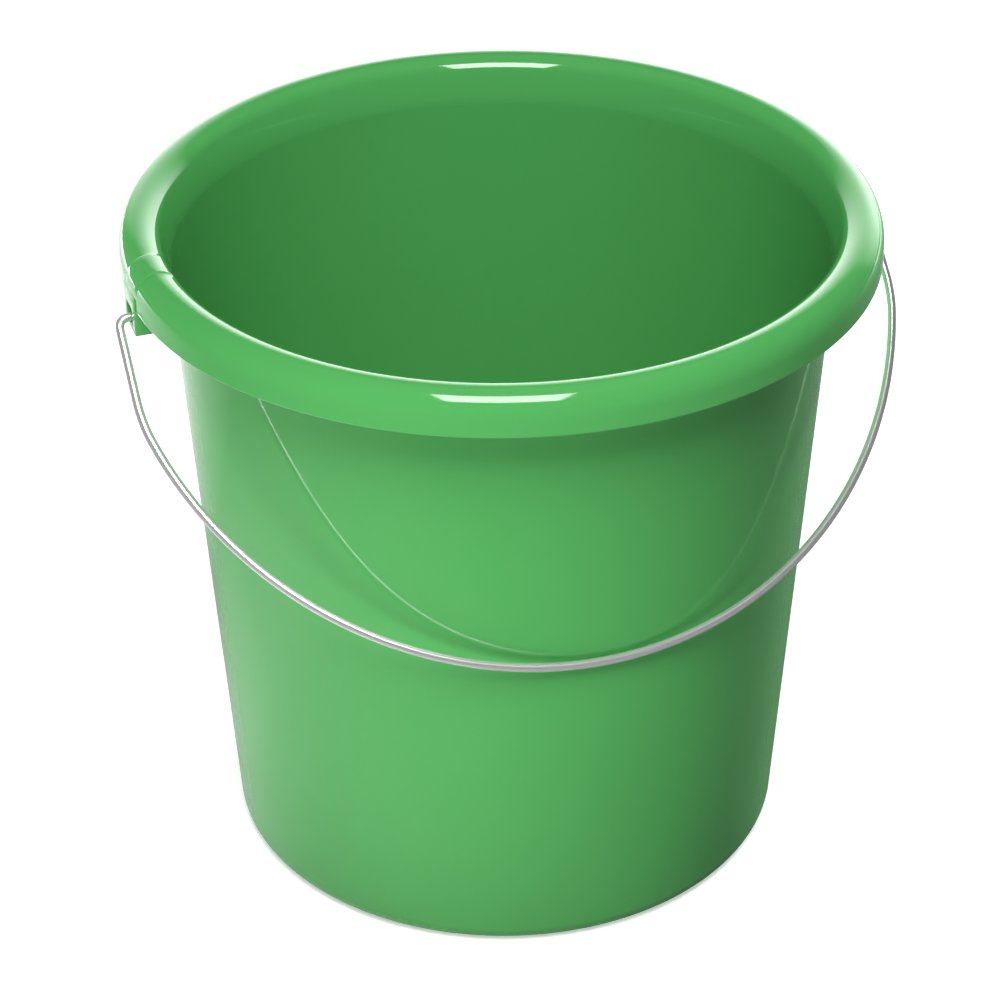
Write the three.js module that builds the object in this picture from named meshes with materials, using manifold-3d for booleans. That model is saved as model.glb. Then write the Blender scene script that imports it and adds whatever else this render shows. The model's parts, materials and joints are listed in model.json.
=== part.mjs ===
// A ten-litre florist bucket: one moulded plastic bucket and one bent steel wire bail.
// Millimetres, +Z up. The origin is the middle of the foot ring, on the surface the bucket stands on.
// The pivot ears lie on the X axis, and the bail rests against the wall on the -Y side.
import * as THREE from "three";
import { mergeVertices } from "three/addons/utils/BufferGeometryUtils.js";
import Module from "manifold-3d";

// Driving dimensions of the bucket.
const HEIGHT = 262;
const RIM_RADIUS = 141;
const SKIRT_BOTTOM = 245.8;
const WALL_RADIUS_AT_SKIRT = 124;
const WALL_RADIUS_AT_FOOT = 107.4;
const CORNER_RADIUS = 7.5;
const WALL = 1.8;
const FLOOR = 2.2;
const FOOT_RECESS = 3;
const FOOT_WIDTH = 3.5;

// The rim is an upside-down channel. The wall flares out above the throat, then an elliptical arc
// leads up to the crest, and a second one leads from the crest down to the skirt.
const CREST_RADIUS = 133;
const THROAT_HEIGHT = 244;
const FLARE_END = THREE.MathUtils.degToRad(20);
const INNER_ARC_HEIGHT = 7.8;
const OUTER_ARC_HEIGHT = 9.4;

// Driving dimensions of the two ears that hold the bail.
const EAR_WIDTH = 15.8;
const EAR_SIDE = 1.8;
const EAR_FACE_RADIUS = 141.4;
const EAR_BOTTOM = 236.2;
const BAND_RISE = 0.35;
const BAND_START_STEP = 1;
const SLOT_WIDTH = 8;
const SLOT_BOTTOM = 238.35;
const SLOT_TOP = 245.4;

// Driving dimensions of the wire bail.
const WIRE = 3.3;
const PIVOT_HEIGHT = 240.4;
const LEG_SPAN = 146;
const LEG_LENGTH = 38.5;
const ARC_HALF_WIDTH = 149.5;
const ARC_DEPTH = 151.7;
const ARC_CENTRE = 6.7;
const END_BEND_RADIUS = 4.2;
const PIN_TIP_RADIUS = 129.5;
const REST_TILT = THREE.MathUtils.degToRad(41.5);

// How finely round things are divided.
const AROUND = 64;
const RIM_STEPS = 4;
const CORNER_STEPS = 4;
const WIRE_SIDES = 10;
const END_BEND_STEPS = 6;
const ARC_STEPS = 60;
const QUARTER = Math.PI / 2;

const wasm = await Module();
wasm.setup();

// --- Solids ---

function toSolid(geometry) {
  const bare = geometry.clone();
  bare.deleteAttribute("normal");
  bare.deleteAttribute("uv");
  const merged = mergeVertices(bare, 1e-4);
  return new wasm.Manifold(
    new wasm.Mesh({
      numProp: 3,
      vertProperties: merged.attributes.position.array,
      triVerts: Uint32Array.from(merged.index.array),
    }),
  );
}

function toGeometry(solid) {
  const mesh = solid.getMesh();
  const geometry = new THREE.BufferGeometry();
  geometry.setAttribute("position", new THREE.BufferAttribute(mesh.vertProperties, 3));
  geometry.setIndex(new THREE.BufferAttribute(mesh.triVerts, 1));
  geometry.computeVertexNormals();
  return geometry;
}

// A slab whose outline is drawn as (radius, height) and whose thickness is centred on the XZ plane.
function radialSlab(outline, thickness) {
  const slab = new THREE.ExtrudeGeometry(new THREE.Shape(outline), {
    depth: thickness,
    bevelEnabled: false,
  });
  slab.translate(0, 0, -thickness / 2);
  slab.rotateX(QUARTER);
  return slab;
}

// --- Profiles, as (radius, height) ---

const point = (radius, height) => new THREE.Vector2(radius, height);

const TAPER = (WALL_RADIUS_AT_SKIRT - WALL_RADIUS_AT_FOOT) / (SKIRT_BOTTOM - CORNER_RADIUS);

function wallRadius(height) {
  return WALL_RADIUS_AT_FOOT + TAPER * (height - CORNER_RADIUS);
}

function arc(centre, halfWidth, halfHeight, from, to, steps) {
  return Array.from({ length: steps + 1 }, (_, i) => {
    const angle = from + ((to - from) * i) / steps;
    return point(centre.x + halfWidth * Math.cos(angle), centre.y + halfHeight * Math.sin(angle));
  });
}

// The line from the top of the wall, over the crest and down the skirt, at a depth below the
// outside of the plastic sheet: 0 is the face that shows from above, WALL is the hidden underside.
// Its four parts are the flare, the inner arc, the outer arc and the skirt.
function rimLine(depth) {
  const halfWidth = RIM_RADIUS - CREST_RADIUS - depth;
  const innerHeight = INNER_ARC_HEIGHT - depth;
  const innerCentre = point(CREST_RADIUS, HEIGHT - INNER_ARC_HEIGHT);
  const outerCentre = point(CREST_RADIUS, HEIGHT - OUTER_ARC_HEIGHT);
  const inner = arc(innerCentre, halfWidth, innerHeight, Math.PI - FLARE_END, QUARTER, RIM_STEPS);
  const outer = arc(outerCentre, halfWidth, OUTER_ARC_HEIGHT - depth, QUARTER, 0, RIM_STEPS);
  const throat = point(wallRadius(THROAT_HEIGHT) - WALL + depth, THROAT_HEIGHT);
  const slope = (halfWidth / innerHeight) * Math.tan(FLARE_END);
  const rise = (inner[0].x - throat.x - TAPER * (inner[0].y - throat.y)) / (slope - TAPER);
  const corner = point(inner[0].x - slope * rise, inner[0].y - rise);
  const flare = new THREE.QuadraticBezierCurve(throat, corner, inner[0]).getPoints(RIM_STEPS);
  return [...flare, ...inner.slice(1), ...outer.slice(1), point(RIM_RADIUS - depth, SKIRT_BOTTOM)];
}

// --- Sub-parts ---

// One closed turned profile: under the floor, up the outside, round the rim and back down the inside.
function shell() {
  const cornerCentre = point(WALL_RADIUS_AT_FOOT - CORNER_RADIUS, CORNER_RADIUS);
  const insideFloor = FOOT_RECESS + FLOOR;
  const insideCorner = CORNER_RADIUS - WALL;
  const insideCentre = point(cornerCentre.x, insideFloor + insideCorner);
  const profile = [
    point(0, FOOT_RECESS),
    point(cornerCentre.x - FOOT_WIDTH - FOOT_RECESS / 2, FOOT_RECESS),
    point(cornerCentre.x - FOOT_WIDTH, 0),
    ...arc(cornerCentre, CORNER_RADIUS, CORNER_RADIUS, -QUARTER, 0, CORNER_STEPS),
    ...rimLine(WALL),
    ...rimLine(0).reverse(),
    ...arc(insideCentre, insideCorner, insideCorner, 0, -QUARTER, CORNER_STEPS),
    point(0, insideFloor),
  ];
  const turned = new THREE.LatheGeometry(profile, AROUND);
  turned.rotateX(QUARTER);
  return toSolid(turned);
}

// A box-shaped lug under the rim, open below, with a slotted face for the bail's end. Its roof
// shows as a slightly raised band across the rim.
function ear() {
  const faceTop = HEIGHT - OUTER_ARC_HEIGHT - EAR_SIDE;
  const bandStart = RIM_STEPS + BAND_START_STEP;
  const block = radialSlab(
    [
      point(wallRadius(EAR_BOTTOM) - WALL / 2, EAR_BOTTOM),
      ...rimLine(WALL / 2).slice(0, bandStart),
      ...rimLine(-BAND_RISE).slice(bandStart, -2),
      point(EAR_FACE_RADIUS, faceTop),
      point(EAR_FACE_RADIUS, EAR_BOTTOM),
    ],
    EAR_WIDTH,
  );
  const underside = rimLine(WALL);
  const below = EAR_BOTTOM - 1;
  const pocket = radialSlab(
    [
      point(wallRadius(below), below),
      ...underside.slice(0, -1),
      point(RIM_RADIUS - WALL, below),
    ],
    EAR_WIDTH - 2 * EAR_SIDE,
  );
  return toSolid(block).subtract(toSolid(pocket));
}

function slot() {
  const reach = 4 * WALL;
  const cut = new THREE.BoxGeometry(reach, SLOT_WIDTH, SLOT_TOP - SLOT_BOTTOM);
  cut.translate(EAR_FACE_RADIUS, 0, (SLOT_TOP + SLOT_BOTTOM) / 2);
  return toSolid(cut);
}

function bucketGeometry() {
  const bothSides = (solid) => solid.add(solid.rotate([0, 0, 180]));
  return toGeometry(shell().add(bothSides(ear())).subtract(bothSides(slot())));
}

// The bail's centreline in its own plane: X across the bucket, -Y from the pivot to the grip.
// A pin, a tight bend, a straight leg, a slight bend, half of the wide arc, and the same mirrored.
function wireLine() {
  const at = (across, down) => new THREE.Vector3(across, -down, 0);
  const joinAngle = Math.asin((LEG_LENGTH - ARC_CENTRE) / ARC_DEPTH);
  const half = [at(PIN_TIP_RADIUS, 0)];
  for (let i = 0; i <= END_BEND_STEPS; i += 1) {
    const angle = QUARTER * (1 - i / END_BEND_STEPS);
    const across = LEG_SPAN - END_BEND_RADIUS + END_BEND_RADIUS * Math.cos(angle);
    half.push(at(across, END_BEND_RADIUS - END_BEND_RADIUS * Math.sin(angle)));
  }
  for (let i = 0; i < ARC_STEPS / 2; i += 1) {
    const angle = joinAngle + ((QUARTER - joinAngle) * i) / (ARC_STEPS / 2);
    half.push(at(ARC_HALF_WIDTH * Math.cos(angle), ARC_CENTRE + ARC_DEPTH * Math.sin(angle)));
  }
  const mirrored = half.map((p) => new THREE.Vector3(-p.x, p.y, 0)).reverse();
  return [...half, at(0, ARC_CENTRE + ARC_DEPTH), ...mirrored];
}

// A curve through listed points whose even steps land on those points.
class ThroughPoints extends THREE.Curve {
  constructor(points) {
    super();
    this.points = points;
  }

  getPoint(t, target = new THREE.Vector3()) {
    const place = t * (this.points.length - 1);
    const index = Math.min(Math.floor(place), this.points.length - 2);
    return target.lerpVectors(this.points[index], this.points[index + 1], place - index);
  }

  getUtoTmapping(u) {
    return u;
  }
}

function bailGeometry() {
  const line = new ThroughPoints(wireLine());
  const section = new THREE.Shape(
    Array.from({ length: WIRE_SIDES }, (_, i) => {
      const angle = (2 * Math.PI * i) / WIRE_SIDES;
      return point((WIRE / 2) * Math.cos(angle), (WIRE / 2) * Math.sin(angle));
    }),
  );
  return new THREE.ExtrudeGeometry(section, {
    steps: line.points.length - 1,
    bevelEnabled: false,
    extrudePath: line,
  });
}

// --- Materials ---

function greenPlastic() {
  return new THREE.MeshStandardMaterial({ color: "#3fa34d", roughness: 0.25, metalness: 0 });
}

function brightWire() {
  return new THREE.MeshStandardMaterial({ color: "#c9cbcc", roughness: 0.2, metalness: 1 });
}

// --- The scene graph ---

const bucket = new THREE.Mesh(bucketGeometry(), greenPlastic());
bucket.name = "bucket";

const bail = new THREE.Mesh(bailGeometry(), brightWire());
bail.name = "bail";
bail.position.set(0, 0, PIVOT_HEIGHT);
bail.rotation.x = REST_TILT;

const floristBucket = new THREE.Group();
floristBucket.add(bucket, bail);

export default floristBucket;
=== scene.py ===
"""Looks for the florist bucket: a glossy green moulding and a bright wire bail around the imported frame.

Units are metres. The ears lie on the X axis, +Z is up, and the bail rests against the -Y side.
"""
import json
import math

import bmesh
import bpy
from mathutils import Matrix, Vector


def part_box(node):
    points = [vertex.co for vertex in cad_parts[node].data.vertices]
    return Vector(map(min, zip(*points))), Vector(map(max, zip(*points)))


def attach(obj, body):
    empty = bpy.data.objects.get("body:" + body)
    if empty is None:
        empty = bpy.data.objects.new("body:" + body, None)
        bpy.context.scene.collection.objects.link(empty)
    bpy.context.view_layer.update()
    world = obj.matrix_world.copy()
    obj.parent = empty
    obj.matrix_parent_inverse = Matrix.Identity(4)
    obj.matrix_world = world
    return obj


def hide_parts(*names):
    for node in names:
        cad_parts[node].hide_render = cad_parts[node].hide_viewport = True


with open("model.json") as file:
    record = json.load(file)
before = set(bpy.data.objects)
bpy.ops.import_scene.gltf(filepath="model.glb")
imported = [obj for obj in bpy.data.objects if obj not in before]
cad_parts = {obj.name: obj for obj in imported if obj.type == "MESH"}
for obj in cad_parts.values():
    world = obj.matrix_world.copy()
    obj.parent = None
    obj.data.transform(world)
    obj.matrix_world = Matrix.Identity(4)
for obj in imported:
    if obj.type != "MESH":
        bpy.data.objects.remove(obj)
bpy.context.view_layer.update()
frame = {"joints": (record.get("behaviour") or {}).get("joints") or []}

# --- Sizes read from the frame ---

BUCKET_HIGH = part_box("bucket")[1]
SWING = frame["joints"][0]
# A band over the ear stands this far proud of the rim, so the bucket's box ends that much above it.
BAND_RISE = 0.00035
HEIGHT = BUCKET_HIGH.z - BAND_RISE
RIM_RADIUS = BUCKET_HIGH.y
EAR_FACE_RADIUS = BUCKET_HIGH.x
PIVOT_HEIGHT = SWING["pos_m"][2]
REST_TILT = math.radians((SWING["range_deg"][1] - 180) / 2)

# --- Sizes of the bucket ---

SKIRT_BOTTOM = 0.2458
WALL_RADIUS_AT_SKIRT = 0.124
WALL_RADIUS_AT_FOOT = 0.1074
CORNER_RADIUS = 0.0075
WALL = 0.0018
FLOOR = 0.0022
FOOT_RECESS = 0.003
FOOT_WIDTH = 0.0035
FILLET = 0.0008
CREST_RADIUS = 0.133
THROAT_HEIGHT = 0.244
FLARE_END_DEGREES = 20
INNER_ARC_HEIGHT = 0.0078
OUTER_ARC_HEIGHT = 0.0094
GATE_RADIUS = 0.004
GATE_BOTTOM_RADIUS = GATE_RADIUS * 0.6
GATE_EDGE_RADIUS = GATE_RADIUS * 1.3
GATE_DEPTH = 0.0008
DISH_RADIUS = GATE_RADIUS * 2
DISH_DEPTH = 0.0001

# --- Sizes of the ears ---

EAR_WIDTH = 0.0158
EAR_SIDE = 0.0018
EAR_BOTTOM = 0.2362
EAR_ROOT_DROP = 0.004
EDGE_ROUND = 0.0003
SLOT_WIDTH = 0.008
SLOT_BOTTOM = 0.23835
SLOT_TOP = 0.2454
SLOT_CORNER = 0.0009
CUT_PAST = 0.005
CUT_THICKNESS = 6 * WALL
CUT_INNER_RADIUS = 0.1

# --- Sizes of the raised band over the left ear ---

BAND_FRONT = -0.0103
BAND_BACK = 0.0039
BAND_SOFTNESS = 0.0005
BAND_STARTS_BELOW_TOP = 0.009
BAND_FULL_BELOW_TOP = 0.006
BAND_STARTS_INSIDE_CREST = 0.0068
BAND_FULL_INSIDE_CREST = 0.0050

# --- Sizes of the bail ---

WIRE_RADIUS = 0.00165
LEG_SPAN = 0.146
LEG_LENGTH = 0.0385
ARC_HALF_WIDTH = 0.1495
ARC_CENTRE = 0.0067
ARC_DEPTH = 0.1517
END_BEND_RADIUS = 0.0042
PIN_TIP_RADIUS = 0.1295
PIN_STEP = 0.001
PIN_POINTS = 13
SHOULDER_SOFTNESS = 0.007
WIDE_ARC_STEPS = 150
WIRE_SIDES = 28
CUT_END_SHARE = 0.8


# --- Mesh helpers ---

def add_object(name, bm, smooth=True):
    mesh = bpy.data.meshes.new(name)
    bm.to_mesh(mesh)
    bm.free()
    for polygon in mesh.polygons:
        polygon.use_smooth = smooth
    piece = bpy.data.objects.new(name, mesh)
    bpy.context.scene.collection.objects.link(piece)
    return piece


def arc(centre, half_width, half_height, start, end, steps):
    """Points (radius, height) along an ellipse from angle start to end, in degrees."""
    points = []
    for i in range(steps + 1):
        angle = math.radians(start + (end - start) * i / steps)
        x = centre[0] + half_width * math.cos(angle)
        points.append((x, centre[1] + half_height * math.sin(angle)))
    return points


def straight(a, b, support=0.0004):
    """A straight run from a to b, with a point just inside each end so that shading stays flat."""
    length = math.dist(a, b)
    shares = [0.0, support / length, 0.5, 1 - support / length, 1.0]
    return [(a[0] + (b[0] - a[0]) * t, a[1] + (b[1] - a[1]) * t) for t in shares]


def bend(start, corner, end, steps):
    """A smooth curve from start to end that leaves and arrives pointing at corner."""
    points = []
    for i in range(steps + 1):
        t = i / steps
        weights = ((1 - t) ** 2, 2 * t * (1 - t), t * t)
        x = sum(w * p[0] for w, p in zip(weights, (start, corner, end)))
        y = sum(w * p[1] for w, p in zip(weights, (start, corner, end)))
        points.append((x, y))
    return points


def joined(*runs):
    """One list of points from several runs, without the doubled points where two runs meet."""
    points = []
    for run in runs:
        for p in run:
            if not points or math.dist(points[-1], p) > 1e-7:
                points.append(p)
    return points


# --- The bucket's turned shell ---

TAPER = (WALL_RADIUS_AT_SKIRT - WALL_RADIUS_AT_FOOT) / (SKIRT_BOTTOM - CORNER_RADIUS)


def wall_radius(height):
    """The outside radius of the tapered wall at a height."""
    return WALL_RADIUS_AT_FOOT + TAPER * (height - CORNER_RADIUS)


def rim_line(depth):
    """From the throat over the crest to the skirt's edge, depth below the upper face."""
    half_width = RIM_RADIUS - CREST_RADIUS - depth
    inner_height = INNER_ARC_HEIGHT - depth
    inner_centre = (CREST_RADIUS, HEIGHT - INNER_ARC_HEIGHT)
    outer_centre = (CREST_RADIUS, HEIGHT - OUTER_ARC_HEIGHT)
    inner = arc(inner_centre, half_width, inner_height, 180 - FLARE_END_DEGREES, 90, 18)
    throat = (wall_radius(THROAT_HEIGHT) - WALL + depth, THROAT_HEIGHT)
    top = inner[0]
    slope = half_width / inner_height * math.tan(math.radians(FLARE_END_DEGREES))
    rise = (top[0] - throat[0] - TAPER * (top[1] - throat[1])) / (slope - TAPER)
    skirt_top = (RIM_RADIUS - depth, outer_centre[1])
    return joined(
        bend(throat, (top[0] - slope * rise, top[1] - rise), top, 14),
        inner,
        arc(outer_centre, half_width, OUTER_ARC_HEIGHT - depth, 90, 0, 20),
        straight(skirt_top, (skirt_top[0], SKIRT_BOTTOM + WALL / 2)),
    )


def shell_profile():
    """The shell's outline from the axis underneath, up the outside, over the rim and back inside."""
    corner = (WALL_RADIUS_AT_FOOT - CORNER_RADIUS, CORNER_RADIUS)
    inside_floor = FOOT_RECESS + FLOOR
    inside_corner = CORNER_RADIUS - WALL
    inside_centre = (corner[0], inside_floor + inside_corner)
    foot_inner = corner[0] - FOOT_WIDTH
    recess_edge = foot_inner - 2 * FILLET
    gate_round = FILLET / 2
    gate_bottom = FOOT_RECESS - GATE_DEPTH
    skirt_middle = (RIM_RADIUS - WALL / 2, SKIRT_BOTTOM + WALL / 2)
    under_rim = rim_line(WALL)
    over_rim = rim_line(0)
    return joined(
        [(0, gate_bottom), (GATE_BOTTOM_RADIUS, gate_bottom)],
        arc((GATE_BOTTOM_RADIUS, gate_bottom + gate_round), gate_round, gate_round, -90, 0, 4),
        arc((GATE_RADIUS, FOOT_RECESS - gate_round), gate_round, gate_round, 180, 90, 4),
        straight((GATE_EDGE_RADIUS, FOOT_RECESS), (recess_edge, FOOT_RECESS)),
        arc((recess_edge, FOOT_RECESS - FILLET), FILLET, FILLET, 90, 0, 6),
        arc((foot_inner, FILLET), FILLET, FILLET, 180, 270, 6),
        straight((foot_inner, 0), (corner[0], 0)),
        arc(corner, CORNER_RADIUS, CORNER_RADIUS, -90, 0, 24),
        straight((WALL_RADIUS_AT_FOOT, CORNER_RADIUS), under_rim[0]),
        under_rim,
        arc(skirt_middle, WALL / 2, WALL / 2, 180, 360, 12),
        over_rim[::-1],
        straight(over_rim[0], (wall_radius(inside_centre[1]) - WALL, inside_centre[1])),
        arc(inside_centre, inside_corner, inside_corner, 0, -90, 16),
        straight((inside_centre[0], inside_floor), (DISH_RADIUS, inside_floor)),
        [(GATE_RADIUS, inside_floor - DISH_DEPTH / 2), (0, inside_floor - DISH_DEPTH)],
    )


def shell_angles():
    """Even steps round the bucket, with closer ones where the raised band over an ear ends."""
    even = 240
    closer = 14
    angles = {round(2 * math.pi * i / even, 6) for i in range(even)}
    for edge in (BAND_FRONT, BAND_BACK):
        for i in range(closer + 1):
            place = edge + BAND_SOFTNESS * (2 * i / closer - 1)
            angles.add(round(math.pi - math.asin(place / CREST_RADIUS), 6))
    return sorted(angles)


def smoothstep(low, high, x):
    """0 at low and 1 at high, with a soft start and end."""
    t = min(1, max(0, (x - low) / (high - low)))
    return t * t * (3 - 2 * t)


def raised_band(radius, height, angle):
    """How far the rim stands proud of its plain shape at a point: a soft-edged band over the left ear."""
    if math.cos(angle) > 0:
        return 0.0
    y = radius * math.sin(angle)
    front = smoothstep(BAND_FRONT - BAND_SOFTNESS, BAND_FRONT + BAND_SOFTNESS, y)
    back = smoothstep(BAND_BACK + BAND_SOFTNESS, BAND_BACK - BAND_SOFTNESS, y)
    above = smoothstep(HEIGHT - BAND_STARTS_BELOW_TOP, HEIGHT - BAND_FULL_BELOW_TOP, height)
    inner_edge = CREST_RADIUS - BAND_STARTS_INSIDE_CREST
    outside = smoothstep(inner_edge, CREST_RADIUS - BAND_FULL_INSIDE_CREST, radius)
    return BAND_RISE * front * back * above * outside


def over_rim_indices(profile):
    """The profile's points on the rim's upper face, from the skirt's outside to below the mouth."""
    turn_back = max(range(len(profile)), key=lambda i: (profile[i][0], -profile[i][1]))
    return {i for i in range(turn_back, len(profile)) if profile[i][1] > EAR_BOTTOM}


def profile_normal(profile, i):
    """The outward direction of the sheet at a point of the profile."""
    before, after = profile[i - 1], profile[i + 1]
    along = Vector((after[0] - before[0], after[1] - before[1])).normalized()
    return along[1], -along[0]


def turn(profile, angles):
    """A closed surface of revolution whose profile starts and ends on the axis."""
    bm = bmesh.new()
    start = bm.verts.new((0, 0, profile[0][1]))
    end = bm.verts.new((0, 0, profile[-1][1]))
    upper = over_rim_indices(profile)
    columns = []
    for angle in angles:
        column = []
        for i, (radius, height) in enumerate(profile[1:-1], start=1):
            rise = raised_band(radius, height, angle) if i in upper else 0.0
            normal = profile_normal(profile, i)
            r, z = radius + normal[0] * rise, height + normal[1] * rise
            column.append(bm.verts.new((r * math.cos(angle), r * math.sin(angle), z)))
        columns.append(column)
    for i, column in enumerate(columns):
        following = columns[(i + 1) % len(columns)]
        bm.faces.new((start, following[0], column[0]))
        for j in range(len(column) - 1):
            bm.faces.new((column[j], following[j], following[j + 1], column[j + 1]))
        bm.faces.new((end, column[-1], following[-1]))
    bm.normal_update()
    return bm


# --- The ears ---

def slab(outline, thickness):
    """A flat plate whose outline is (radius, height), centred on the XZ plane."""
    bm = bmesh.new()
    near = [bm.verts.new((r, -thickness / 2, z)) for r, z in outline]
    far = [bm.verts.new((r, thickness / 2, z)) for r, z in outline]
    bm.faces.new(near)
    bm.faces.new(far[::-1])
    for i in range(len(outline)):
        j = (i + 1) % len(outline)
        bm.faces.new((near[j], near[i], far[i], far[j]))
    bmesh.ops.recalc_face_normals(bm, faces=bm.faces)
    return bm


def rounded_slot():
    """A rounded upright slot through the ear's face, as a plate in the YZ plane."""
    half_width = SLOT_WIDTH / 2 - SLOT_CORNER
    half_height = (SLOT_TOP - SLOT_BOTTOM) / 2 - SLOT_CORNER
    slot_middle = (SLOT_TOP + SLOT_BOTTOM) / 2
    outline = []
    corners = ((1, 1), (-1, 1), (-1, -1), (1, -1))
    for quarter, (sx, sz) in enumerate(corners):
        middle = (sx * half_width, slot_middle + sz * half_height)
        outline += arc(middle, SLOT_CORNER, SLOT_CORNER, 90 * quarter, 90 * quarter + 90, 5)
    bm = slab(outline, CUT_THICKNESS)
    bmesh.ops.rotate(bm, verts=bm.verts, cent=(0, 0, 0), matrix=Matrix.Rotation(math.pi / 2, 3, "Z"))
    bmesh.ops.translate(bm, verts=bm.verts, vec=(EAR_FACE_RADIUS, 0, 0))
    return bm


def apply_modifiers(piece):
    """Replaces the piece's mesh by the mesh that its modifiers make."""
    depsgraph = bpy.context.evaluated_depsgraph_get()
    final = bpy.data.meshes.new_from_object(piece.evaluated_get(depsgraph))
    piece.modifiers.clear()
    piece.data = final


def make_ear(name, side):
    """A lug under the rim, open below, whose slotted face holds one end of the bail. Its top and
    back run along the middle of the rim's and the wall's thickness, so they don't show. side is 1
    for the ear on +X and -1 for the one on -X."""
    middle = rim_line(WALL / 2)
    face_top = HEIGHT - OUTER_ARC_HEIGHT - EAR_SIDE
    root = face_top - EAR_ROOT_DROP
    # The hidden top needs only every third point of the rim's line.
    over = [p for p in middle[::3] if p[1] > face_top and p[0] < RIM_RADIUS - WALL / 3]
    outline = joined(
        [(wall_radius(EAR_BOTTOM) - WALL / 2, EAR_BOTTOM)],
        [(wall_radius(root) - WALL / 2, root)],
        over,
        [(EAR_FACE_RADIUS, face_top), (EAR_FACE_RADIUS, EAR_BOTTOM)],
    )
    ear = add_object(name, slab(outline, EAR_WIDTH), smooth=False)
    below = EAR_BOTTOM - CUT_PAST
    pocket = [
        (CUT_INNER_RADIUS, below),
        (CUT_INNER_RADIUS, HEIGHT),
        (RIM_RADIUS - WALL, HEIGHT),
        (RIM_RADIUS - WALL, below),
    ]
    cuts = [
        add_object("cut_pocket", slab(pocket, EAR_WIDTH - 2 * EAR_SIDE), smooth=False),
        add_object("cut_slot", rounded_slot(), smooth=False),
    ]
    for cut in cuts:
        boolean = ear.modifiers.new("cut", "BOOLEAN")
        boolean.operation = "DIFFERENCE"
        boolean.solver = "EXACT"
        boolean.object = cut
    bevel = ear.modifiers.new("round", "BEVEL")
    bevel.width = EDGE_ROUND
    bevel.segments = 3
    bevel.limit_method = "ANGLE"
    bevel.angle_limit = math.radians(50)
    bevel.harden_normals = True
    apply_modifiers(ear)
    for cut in cuts:
        bpy.data.objects.remove(cut)
    if side < 0:
        ear.data.transform(Matrix.Rotation(math.pi, 4, "Z"))
    for polygon in ear.data.polygons:
        polygon.use_smooth = True
    return ear


# --- The bail ---

def bail_line():
    """The wire's middle line in the bail's own plane, as (across, down): a pin, a tight bend, a
    straight leg, a soft shoulder, the wide arc, and the same mirrored."""
    join = math.asin((LEG_LENGTH - ARC_CENTRE) / ARC_DEPTH)
    elbow = (LEG_SPAN - END_BEND_RADIUS, END_BEND_RADIUS)
    pin = [(PIN_TIP_RADIUS + PIN_STEP * i, 0.0) for i in range(PIN_POINTS)]
    tight = arc(elbow, END_BEND_RADIUS, END_BEND_RADIUS, -90, 0, 14)
    leg = straight((LEG_SPAN, END_BEND_RADIUS), (LEG_SPAN, LEG_LENGTH - SHOULDER_SOFTNESS))
    after = join + SHOULDER_SOFTNESS / ARC_DEPTH
    first = (ARC_HALF_WIDTH * math.cos(after), ARC_CENTRE + ARC_DEPTH * math.sin(after))
    shoulder = bend(leg[-1], (LEG_SPAN, LEG_LENGTH), first, 10)
    wide = []
    for i in range(WIDE_ARC_STEPS + 1):
        angle = after + (math.pi / 2 - after) * i / WIDE_ARC_STEPS
        wide.append((ARC_HALF_WIDTH * math.cos(angle), ARC_CENTRE + ARC_DEPTH * math.sin(angle)))
    half = joined(pin, tight, leg, shoulder, wide)
    return half + [(-x, y) for x, y in half[-2::-1]]


def bail_point(across, down, lift):
    """A point of the bail's plane at rest, in the frame; lift is along the plane's normal."""
    forward = Vector((0, -math.cos(REST_TILT), -math.sin(REST_TILT)))
    upward = Vector((0, -math.sin(REST_TILT), math.cos(REST_TILT)))
    return Vector((across, 0, PIVOT_HEIGHT)) + forward * down + upward * lift


def make_bail():
    """A round wire swept along its line, slightly narrower at both cut ends. Its texture coordinates
    give the distance along the wire, in metres, and the way round it."""
    line = bail_line()
    bm = bmesh.new()
    uv = bm.loops.layers.uv.new("along_wire")
    rings = []
    travelled = 0.0
    distances = []
    for i, p in enumerate(line):
        before, after = line[max(0, i - 1)], line[min(len(line) - 1, i + 1)]
        along = Vector((after[0] - before[0], after[1] - before[1])).normalized()
        sideways = Vector((-along[1], along[0]))
        if i:
            travelled += math.dist(line[i - 1], p)
        end_gap = min(i, len(line) - 1 - i)
        size = WIRE_RADIUS * (CUT_END_SHARE if end_gap == 0 else 1.0)
        ring = []
        for k in range(WIRE_SIDES):
            angle = 2 * math.pi * k / WIRE_SIDES
            offset = sideways * (size * math.cos(angle))
            place = bail_point(p[0] + offset[0], p[1] + offset[1], size * math.sin(angle))
            ring.append(bm.verts.new(place))
        rings.append(ring)
        distances.append(travelled)
    for i in range(len(rings) - 1):
        for k in range(WIRE_SIDES):
            n = (k + 1) % WIRE_SIDES
            face = bm.faces.new((rings[i][k], rings[i][n], rings[i + 1][n], rings[i + 1][k]))
            places = ((k, i), (k + 1, i), (k + 1, i + 1), (k, i + 1))
            for loop, (a, b) in zip(face.loops, places):
                loop[uv].uv = (distances[b], a / WIRE_SIDES)
    bm.faces.new(rings[0][::-1])
    bm.faces.new(rings[-1])
    bmesh.ops.recalc_face_normals(bm, faces=bm.faces)
    return add_object("bail_wire", bm)


# --- Material helpers ---

def new_material(name):
    material = bpy.data.materials.new(name)
    material.use_nodes = True
    return material, material.node_tree.nodes, material.node_tree.links


def add_noise(nodes, links, coordinates, scale, detail):
    noise = nodes.new("ShaderNodeTexNoise")
    noise.inputs["Scale"].default_value = scale
    noise.inputs["Detail"].default_value = detail
    links.new(coordinates, noise.inputs["Vector"])
    return noise.outputs["Fac"]


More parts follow.
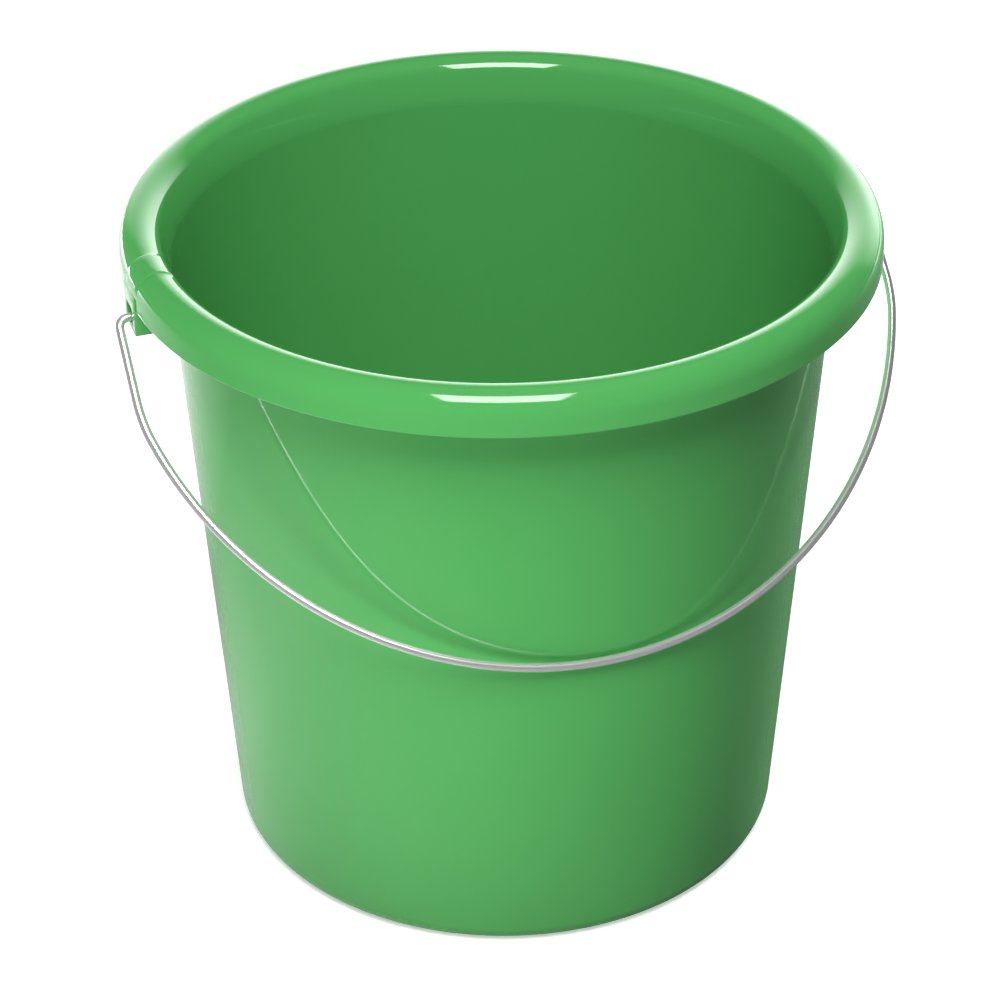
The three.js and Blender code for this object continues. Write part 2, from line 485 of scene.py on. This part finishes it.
def add_streaks(nodes, links, coordinates, stretch, detail):
    """Noise drawn out along one direction; stretch is the scale along each axis."""
    mapping = nodes.new("ShaderNodeMapping")
    mapping.inputs["Scale"].default_value = stretch
    links.new(coordinates, mapping.inputs["Vector"])
    return add_noise(nodes, links, mapping.outputs["Vector"], scale=1, detail=detail)


def add_range(nodes, links, value, low, high, from_low=0.0, from_high=1.0):
    """low where value is from_low, high where it is from_high, and even steps between them."""
    remap = nodes.new("ShaderNodeMapRange")
    remap.inputs["From Min"].default_value = from_low
    remap.inputs["From Max"].default_value = from_high
    remap.inputs["To Min"].default_value = low
    remap.inputs["To Max"].default_value = high
    links.new(value, remap.inputs["Value"])
    return remap.outputs["Result"]


def add_mix(nodes, links, factor, low, high):
    """A colour between low and high, each of which is a colour or a socket."""
    mix = nodes.new("ShaderNodeMix")
    mix.data_type = "RGBA"
    for name, value in (("A", low), ("B", high)):
        if isinstance(value, tuple):
            mix.inputs[name].default_value = value
        else:
            links.new(value, mix.inputs[name])
    links.new(factor, mix.inputs["Factor"])
    return mix.outputs["Result"]


def add_mix_value(nodes, links, factor, first, second):
    """A value that goes from first, a socket, to second, a number, as factor goes from 0 to 1."""
    mix = nodes.new("ShaderNodeMix")
    mix.inputs["B"].default_value = second
    links.new(factor, mix.inputs["Factor"])
    links.new(first, mix.inputs["A"])
    return mix.outputs["Result"]


def add_math(nodes, links, operation, first, second):
    result = nodes.new("ShaderNodeMath")
    result.operation = operation
    links.new(first, result.inputs[0])
    links.new(second, result.inputs[1])
    return result.outputs["Value"]


def add_distance(nodes, links, place, centre):
    """How far place, a socket, is from the fixed point centre."""
    distance = nodes.new("ShaderNodeVectorMath")
    distance.operation = "DISTANCE"
    distance.inputs[1].default_value = centre
    links.new(place, distance.inputs[0])
    return distance.outputs["Value"]


def add_bump(nodes, links, height, strength, distance, under=None):
    bump = nodes.new("ShaderNodeBump")
    bump.inputs["Strength"].default_value = strength
    bump.inputs["Distance"].default_value = distance
    links.new(height, bump.inputs["Height"])
    if under:
        links.new(under, bump.inputs["Normal"])
    return bump.outputs["Normal"]


# --- Materials ---

PLASTIC_IOR = 1.49
DEEP_GREEN = (0.070, 0.345, 0.085, 1)
LIGHT_GREEN = (0.078, 0.367, 0.094, 1)
SCUFFED_GREEN = (0.20, 0.42, 0.22, 1)
POLISHED_ROUGHNESS = (0.05, 0.09)
INSIDE_ROUGHNESS = 0.28
SCUFFED_ROUGHNESS = 0.45
SCUFFED_BELOW = 0.0003
CLEAN_ABOVE = 0.0014
INSIDE_SOFTNESS = 0.0003
MATT_ENDS_BELOW_TOP = 0.004

DULL_STEEL = (0.72, 0.725, 0.73, 1)
BRIGHT_STEEL = (0.84, 0.845, 0.845, 1)
STEEL_ROUGHNESS = (0.14, 0.26)
STEEL_METALLIC = 0.7


def inside(nodes, links, place):
    """1 on the inside of the wall and floor, which the mould leaves less polished, down to 0 where
    the mouth opens out into the rim. place is a Separate XYZ node."""
    flat = nodes.new("ShaderNodeCombineXYZ")
    links.new(place.outputs["X"], flat.inputs["X"])
    links.new(place.outputs["Y"], flat.inputs["Y"])
    radius = nodes.new("ShaderNodeVectorMath")
    radius.operation = "LENGTH"
    links.new(flat.outputs["Vector"], radius.inputs[0])
    # The radius with the wall's taper taken out is the same at every height of the wall.
    untapered = nodes.new("ShaderNodeMath")
    untapered.operation = "MULTIPLY_ADD"
    untapered.inputs[1].default_value = -TAPER
    links.new(place.outputs["Z"], untapered.inputs[0])
    links.new(radius.outputs["Value"], untapered.inputs[2])
    middle = wall_radius(0) - WALL / 2
    edge = middle - INSIDE_SOFTNESS
    fade_top = HEIGHT - MATT_ENDS_BELOW_TOP
    within = add_range(nodes, links, untapered.outputs["Value"], 1, 0, edge, middle)
    below_rim = add_range(nodes, links, place.outputs["Z"], 1, 0, THROAT_HEIGHT, fade_top)
    above_floor = add_range(nodes, links, place.outputs["Z"], 0, 1, FOOT_RECESS, FOOT_RECESS + FLOOR)
    in_wall = add_math(nodes, links, "MULTIPLY", within, below_rim)
    return add_math(nodes, links, "MULTIPLY", in_wall, above_floor)


def green_plastic():
    """Glossy coloured polypropylene: faint flow mottling, drag marks from the mould, a slightly
    wavy gloss, a duller inside, and scuffing where the foot ring stands."""
    material, nodes, links = new_material("green_plastic")
    shader = nodes["Principled BSDF"]
    shader.inputs["IOR"].default_value = PLASTIC_IOR
    coordinates = nodes.new("ShaderNodeTexCoord").outputs["Object"]
    place = nodes.new("ShaderNodeSeparateXYZ")
    links.new(coordinates, place.inputs["Vector"])

    mottle = add_noise(nodes, links, coordinates, scale=14, detail=3)
    clean = add_mix(nodes, links, mottle, DEEP_GREEN, LIGHT_GREEN)
    near_floor = add_range(nodes, links, place.outputs["Z"], 1, 0, SCUFFED_BELOW, CLEAN_ABOVE)
    grain = add_noise(nodes, links, coordinates, scale=160, detail=4)
    patches = add_range(nodes, links, grain, 0, 1, from_low=0.42, from_high=0.62)
    scuffed = add_math(nodes, links, "MULTIPLY", near_floor, patches)
    colour = add_mix(nodes, links, scuffed, clean, SCUFFED_GREEN)
    links.new(colour, shader.inputs["Base Color"])

    smudge = add_noise(nodes, links, coordinates, scale=35, detail=4)
    polish = add_range(nodes, links, smudge, *POLISHED_ROUGHNESS, from_low=0.35, from_high=0.65)
    finish = add_mix_value(nodes, links, inside(nodes, links, place), polish, INSIDE_ROUGHNESS)
    roughness = add_mix_value(nodes, links, scuffed, finish, SCUFFED_ROUGHNESS)
    links.new(roughness, shader.inputs["Roughness"])

    waves = add_noise(nodes, links, coordinates, scale=22, detail=1)
    drag = add_streaks(nodes, links, coordinates, stretch=(260, 260, 7), detail=2)
    wavy = add_bump(nodes, links, waves, strength=0.02, distance=0.002)
    dragged = add_bump(nodes, links, drag, strength=0.02, distance=0.0001, under=wavy)
    links.new(dragged, shader.inputs["Normal"])
    return material


def bright_wire():
    """Zinc-plated drawn steel: a grey bright metal with fine streaks along the wire."""
    material, nodes, links = new_material("bright_wire")
    shader = nodes["Principled BSDF"]
    shader.inputs["Metallic"].default_value = STEEL_METALLIC
    uv = nodes.new("ShaderNodeUVMap")
    uv.uv_map = "along_wire"
    streaks = add_streaks(nodes, links, uv.outputs["UV"], stretch=(30, 14, 1), detail=4)
    colour = add_mix(nodes, links, streaks, DULL_STEEL, BRIGHT_STEEL)
    links.new(colour, shader.inputs["Base Color"])
    links.new(add_range(nodes, links, streaks, *STEEL_ROUGHNESS), shader.inputs["Roughness"])
    fine_bump = add_bump(nodes, links, streaks, strength=0.08, distance=0.0002)
    links.new(fine_bump, shader.inputs["Normal"])
    return material


def pale_floor():
    """Matt white paper, lit a little from below as a light table is."""
    material, nodes, links = new_material("pale_floor")
    shader = nodes["Principled BSDF"]
    shader.inputs["Base Color"].default_value = (0.9, 0.9, 0.9, 1)
    shader.inputs["Roughness"].default_value = 0.9
    shader.inputs["Specular IOR Level"].default_value = 0.1
    shader.inputs["Emission Color"].default_value = (1, 1, 1, 1)
    shader.inputs["Emission Strength"].default_value = 0.4
    return material


# --- The studio, laid out around the camera's direction ---

CAMERA_AZIMUTH = math.radians(-18.3)
CAMERA_ELEVATION = math.radians(32.2)
CAMERA_DISTANCE = 1.335
CAMERA_ROLL = math.radians(-0.465)
CAMERA_TARGET = Vector((-0.0013, 0, 0.133))
CAMERA_LENS = 123.8
SENSOR_WIDTH = 36
CARD_HEIGHT = 0.0012
# The grey of a painted shade over the floor, seen only in reflections and in light bounced onto the
# bucket.
PAINTED_SHADE_GREY = 0.13
WORLD_STRENGTH = 0.05
# A graded light is even to this distance from its middle and dark at its edge, as shares of its size.
GRADE_EVEN = 0.15
GRADE_EDGE = 0.5


def studio(right, away, up):
    """A point given to the camera's right, away from the camera and up, from the bucket's foot."""
    return Matrix.Rotation(CAMERA_AZIMUTH, 3, "Z") @ Vector((right, away, up))


def make_camera():
    data = bpy.data.cameras.new("camera")
    data.lens = CAMERA_LENS
    data.sensor_width = SENSOR_WIDTH
    camera = bpy.data.objects.new("camera", data)
    bpy.context.scene.collection.objects.link(camera)
    back = studio(0, -math.cos(CAMERA_ELEVATION), math.sin(CAMERA_ELEVATION))
    camera.location = studio(*CAMERA_TARGET) + back * CAMERA_DISTANCE
    turn_to = back.to_track_quat("Z", "Y").to_matrix()
    camera.rotation_euler = (turn_to @ Matrix.Rotation(CAMERA_ROLL, 3, "Z")).to_euler()
    bpy.context.scene.camera = camera


def make_disc(name, material, radius, height):
    bm = bmesh.new()
    bmesh.ops.create_circle(bm, cap_ends=True, radius=radius, segments=96)
    bmesh.ops.translate(bm, verts=bm.verts, vec=(0, 0, height))
    disc = add_object(name, bm)
    disc.data.materials.append(material)
    return disc


def light_pool(nodes, links, place, middle, inner, outer, most):
    """The value most within the inner distance of a point on the floor, down to 0 at the outer one."""
    distance = add_distance(nodes, links, place, studio(*middle, 0))
    return add_range(nodes, links, distance, most, 0, inner, outer)


def painted_shade_card():
    """Matt dark grey, a painted shade over the floor, open over a pool of light to the left and another
    behind the bucket.
    """
    material, nodes, links = new_material("painted_shade_card")
    grey = nodes["Principled BSDF"]
    grey.inputs["Base Color"].default_value = (PAINTED_SHADE_GREY, PAINTED_SHADE_GREY, PAINTED_SHADE_GREY, 1)
    grey.inputs["Roughness"].default_value = 1.0
    grey.inputs["Specular IOR Level"].default_value = 0.0
    place = nodes.new("ShaderNodeTexCoord").outputs["Object"]
    left = light_pool(nodes, links, place, middle=(-0.20, -0.08), inner=0.04, outer=0.30, most=0.6)
    back = light_pool(nodes, links, place, middle=(-0.50, 0.90), inner=0.55, outer=0.95, most=0.8)
    mix = nodes.new("ShaderNodeMixShader")
    links.new(add_math(nodes, links, "MAXIMUM", left, back), mix.inputs["Fac"])
    links.new(grey.outputs["BSDF"], mix.inputs[1])
    links.new(nodes.new("ShaderNodeBsdfTransparent").outputs["BSDF"], mix.inputs[2])
    links.new(mix.outputs["Shader"], nodes["Material Output"].inputs["Surface"])
    return material


def make_stage():
    """A white floor, and a dark card just above it: a painted shade over the floor that darkens what the
    bucket reflects and the light bounced up onto it. The card itself isn't seen and casts no shadow."""
    make_disc("floor", pale_floor(), radius=6, height=0)
    # The card is a painted shade over the floor, seen only in reflections and in light bounced onto the
    # bucket.
    card = make_disc("painted_shade_sheet", painted_shade_card(), radius=3, height=CARD_HEIGHT)
    card.visible_camera = False
    card.visible_shadow = False


def grade(light_data):
    """Fades a light from its full strength in the middle to nothing at its edges."""
    light_data.use_nodes = True
    nodes, links = light_data.node_tree.nodes, light_data.node_tree.links
    across = nodes.new("ShaderNodeNewGeometry").outputs["Parametric"]
    distance = add_distance(nodes, links, across, (0.5, 0.5, 0))
    strength = add_range(nodes, links, distance, 1, 0, GRADE_EVEN, GRADE_EDGE)
    links.new(strength, nodes["Emission"].inputs["Strength"])


def add_softbox(name, place, size, radiance, target=(0, 0, 0.2), reflected=True, graded=False):
    """A rectangular light that faces target, unseen by the camera. A light that isn't reflected only
    fills shadows, and a graded one fades towards its edges."""
    data = bpy.data.lights.new(name, "AREA")
    data.shape = "RECTANGLE"
    data.size, data.size_y = size
    data.energy = radiance * math.pi * size[0] * size[1]
    if graded:
        grade(data)
    light = bpy.data.objects.new(name, data)
    light.location = studio(*place)
    light.rotation_euler = (light.location - studio(*target)).to_track_quat("Z", "Y").to_euler()
    light.visible_camera = False
    light.visible_glossy = reflected
    bpy.context.scene.collection.objects.link(light)


def make_world():
    world = bpy.data.worlds.new("studio")
    world.use_nodes = True
    background = world.node_tree.nodes["Background"]
    background.inputs["Color"].default_value = (1, 1, 1, 1)
    background.inputs["Strength"].default_value = WORLD_STRENGTH
    bpy.context.scene.world = world


def make_lights():
    """A key light high in front, a wide panel behind, a weak overhead light, a glow just above the
    floor on the left, and two low lights behind that brighten the wall's edges."""
    add_softbox("key", place=(0, -0.78, 1.36), size=(0.66, 0.66), radiance=17)
    add_softbox(
        "back_panel",
        place=(0.45, 1.6, 0.52),
        size=(3.4, 2.2),
        radiance=3.8,
        target=(0.45, 0, 0.52),
        graded=True,
    )
    add_softbox("overhead", place=(0, 0.1, 2.2), size=(2.0, 2.0), radiance=0.2)
    add_softbox(
        "floor_glow",
        place=(-0.46, -0.65, 0.002),
        size=(1.8, 1.2),
        radiance=3.5,
        target=(-0.46, -0.65, 1),
        reflected=False,
        graded=True,
    )
    add_softbox(
        "back_right_fill",
        place=(0.86, 1.10, 0.12),
        size=(0.6, 0.24),
        radiance=100,
        target=(0, 0, 0.12),
        reflected=False,
    )
    add_softbox(
        "back_left_fill",
        place=(-1.07, 0.90, 0.12),
        size=(0.6, 0.24),
        radiance=50,
        target=(0, 0, 0.12),
        reflected=False,
    )


# --- Assembly ---

make_camera()
make_stage()
make_world()
make_lights()

plastic = green_plastic()
shell = add_object("bucket_shell", turn(shell_profile(), shell_angles()))
ears = [make_ear("ear_left", -1), make_ear("ear_right", 1)]
for piece in [shell, *ears]:
    piece.data.materials.append(plastic)
    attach(piece, "bucket")
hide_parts("bucket")

bail = make_bail()
bail.data.materials.append(bright_wire())
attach(bail, "bail")
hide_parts("bail")

bpy.context.scene.view_settings.view_transform = "Standard"
